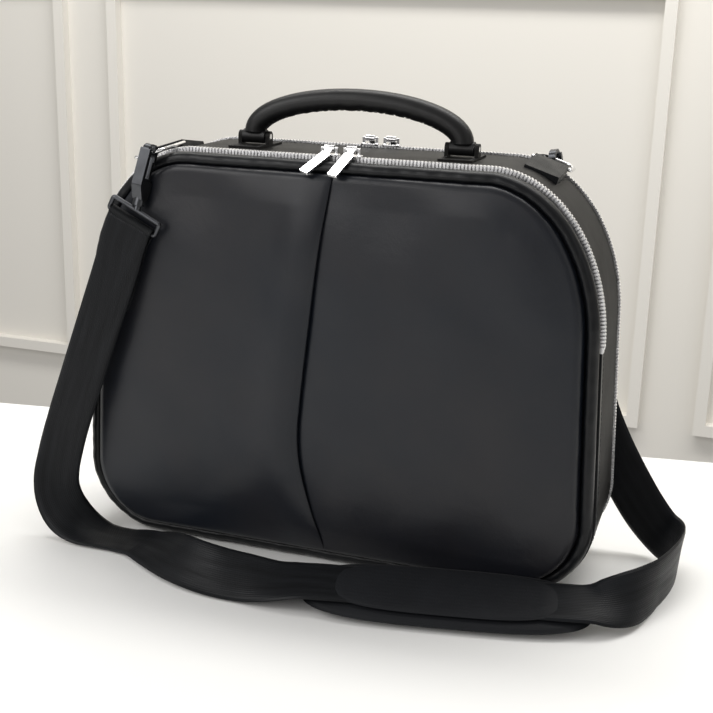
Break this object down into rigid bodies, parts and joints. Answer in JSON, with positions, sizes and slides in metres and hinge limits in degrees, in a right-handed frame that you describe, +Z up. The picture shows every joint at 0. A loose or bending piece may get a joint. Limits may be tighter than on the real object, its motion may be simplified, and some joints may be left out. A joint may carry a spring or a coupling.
{
  "type": "leather briefcase",
  "caption": "Soft-sided leather briefcase with zipped front and back panels, hinged carry handle and clipped shoulder strap.",
  "frame": {"origin": "centre of the flat base, on the floor", "axes": "+Z up, +X to the right seen from the front, -Y towards the front panel"},
  "size_m": [0.5014, 0.223, 0.354],
  "materials": {
    "panel_leather": "satin fine grain",
    "edge_leather": "satin",
    "gusset_leather": "satin",
    "grip_leather": "satin",
    "zip_metal": "polished",
    "zip_tape": "woven",
    "lining": "woven",
    "board": "matte",
    "core_rubber": "matte",
    "polished_metal": "polished",
    "gunmetal": "dark nickel",
    "webbing": "ribbed webbing",
    "pad_fabric": "dense weave"
  },
  "bodies": {
    "case": {"main_gusset": "gusset_leather", "front_gusset_band": "edge_leather", "back_gusset_band": "edge_leather", "front_panel": "panel_leather", "front_strip": "edge_leather", "back_panel_lower": "panel_leather", "back_strip_lower": "edge_leather", "front_zip_row_body": "zip_metal", "front_zip_row_fixed": "zip_metal", "back_zip_row_body": "zip_metal", "back_zip_row_fixed": "zip_metal", "front_zip_tape_body": "zip_tape", "front_zip_tape_fixed": "zip_tape", "back_zip_tape_body": "zip_tape", "zip_stops": "zip_metal", "divider_panel": "lining", "organizer_pocket": "lining", "base_board": "board", "laptop_sleeve": "lining", "handle_tab_left": "gusset_leather", "handle_tab_right": "gusset_leather", "handle_rods": "polished_metal", "strap_loop_left": "webbing", "strap_loop_right": "webbing", "hook_loop_left": "gunmetal", "hook_loop_right": "gunmetal", "shoulder_strap": "webbing", "strap_end_left": "webbing", "strap_end_right": "webbing", "strap_adjuster": "gunmetal", "shoulder_pad": "pad_fabric", "pad_sleeve": "pad_fabric"},
    "front_flap": {"front_panel_flap": "panel_leather", "front_strip_flap": "edge_leather", "front_zip_row_flap": "zip_metal", "front_zip_tape_flap": "zip_tape"},
    "back_flap": {"back_panel_flap": "panel_leather", "back_strip_flap": "edge_leather", "back_zip_row_flap": "zip_metal", "back_zip_tape_flap": "zip_tape"},
    "handle": {"handle_grip": "grip_leather", "handle_core": "core_rubber", "handle_end_left": "grip_leather", "handle_end_right": "grip_leather"},
    "hook_left": {"hook_body_left": "gunmetal", "hook_gate_pin_left": "gunmetal"},
    "hook_right": {"hook_body_right": "gunmetal", "hook_gate_pin_right": "gunmetal"},
    "front_slider_left": {"front_slider_left": "polished_metal"},
    "front_slider_right": {"front_slider_right": "polished_metal"},
    "back_slider_left": {"back_slider_left": "polished_metal"},
    "back_slider_right": {"back_slider_right": "polished_metal"},
    "front_pull_left": {"front_pull_left": "polished_metal"},
    "front_pull_right": {"front_pull_right": "polished_metal"},
    "back_pull_left": {"back_pull_left": "polished_metal"},
    "back_pull_right": {"back_pull_right": "polished_metal"},
    "dring_left": {"dring_left": "polished_metal"},
    "dring_right": {"dring_right": "polished_metal"},
    "hook_gate_left": {"hook_gate_left": "gunmetal"},
    "hook_gate_right": {"hook_gate_right": "gunmetal"}
  },
  "joints": [
    {"name": "front_flap_fold", "type": "hinge", "parent": "case", "child": "front_flap", "pos_m": [-0.116, -0.0615, 0.308], "axis": [0.9379, 0, -0.3469], "range_deg": [0, 65]},
    {"name": "back_flap_fold", "type": "hinge", "parent": "case", "child": "back_flap", "pos_m": [0.116, 0.0565, 0.308], "axis": [-0.7895, 0, -0.6138], "range_deg": [0, 70]},
    {"name": "handle_swing", "type": "hinge", "parent": "case", "child": "handle", "pos_m": [0, 0, 0.3155], "axis": [1, 0, 0], "range_deg": [-60, 60]},
    {"name": "front_left_zip", "type": "slide", "parent": "front_flap", "child": "front_slider_left", "axis": [-1, 0, 0], "range_m": [0, 0.08]},
    {"name": "front_right_zip", "type": "slide", "parent": "front_flap", "child": "front_slider_right", "axis": [1, 0, 0], "range_m": [0, 0.092]},
    {"name": "back_left_zip", "type": "slide", "parent": "back_flap", "child": "back_slider_left", "axis": [-1, 0, 0], "range_m": [0, 0.1]},
    {"name": "back_right_zip", "type": "slide", "parent": "back_flap", "child": "back_slider_right", "axis": [1, 0, 0], "range_m": [0, 0.088]},
    {"name": "front_left_pull_swing", "type": "hinge", "parent": "front_slider_left", "child": "front_pull_left", "pos_m": [-0.0055, -0.042, 0.3146], "axis": [-1, 0, 0], "range_deg": [0, 140]},
    {"name": "front_right_pull_swing", "type": "hinge", "parent": "front_slider_right", "child": "front_pull_right", "pos_m": [0.0115, -0.042, 0.3146], "axis": [-1, 0, 0], "range_deg": [0, 140]},
    {"name": "back_left_pull_swing", "type": "hinge", "parent": "back_slider_left", "child": "back_pull_left", "pos_m": [-0.0025, 0.042, 0.3146], "axis": [1, 0, 0], "range_deg": [0, 140]},
    {"name": "back_right_pull_swing", "type": "hinge", "parent": "back_slider_right", "child": "back_pull_right", "pos_m": [0.0145, 0.042, 0.3146], "axis": [1, 0, 0], "range_deg": [0, 140]},
    {"name": "left_ring_lift", "type": "hinge", "parent": "case", "child": "dring_left", "pos_m": [-0.14092, -0.028, 0.30597], "axis": [-0.9511, 0, -0.309], "range_deg": [-2, 0.5]},
    {"name": "right_ring_lift", "type": "hinge", "parent": "case", "child": "dring_right", "pos_m": [0.14092, 0.028, 0.30597], "axis": [0.9511, 0, -0.309], "range_deg": [-2, 0.5]},
    {"name": "left_hook_swivel", "type": "hinge", "parent": "case", "child": "hook_left", "pos_m": [-0.1445, -0.072, 0.264], "axis": [0.1745, 0.2443, 0.9539], "range_deg": [-8, 8]},
    {"name": "right_hook_swivel", "type": "hinge", "parent": "case", "child": "hook_right", "pos_m": [0.1445, 0.072, 0.264], "axis": [-0.1745, -0.2443, 0.9539], "range_deg": [-8, 8]},
    {"name": "left_gate_press", "type": "hinge", "parent": "hook_left", "child": "hook_gate_left", "pos_m": [-0.14105, -0.06498, 0.28097], "axis": [0.981, -0.1268, -0.147], "range_deg": [0, 25], "stiffness_Nm_per_rad": 0.02, "springref_deg": -17.19},
    {"name": "right_gate_press", "type": "hinge", "parent": "hook_right", "child": "hook_gate_right", "pos_m": [0.14105, 0.06498, 0.28097], "axis": [-0.981, 0.1268, -0.147], "range_deg": [0, 25], "stiffness_Nm_per_rad": 0.02, "springref_deg": -17.19}
  ]
}
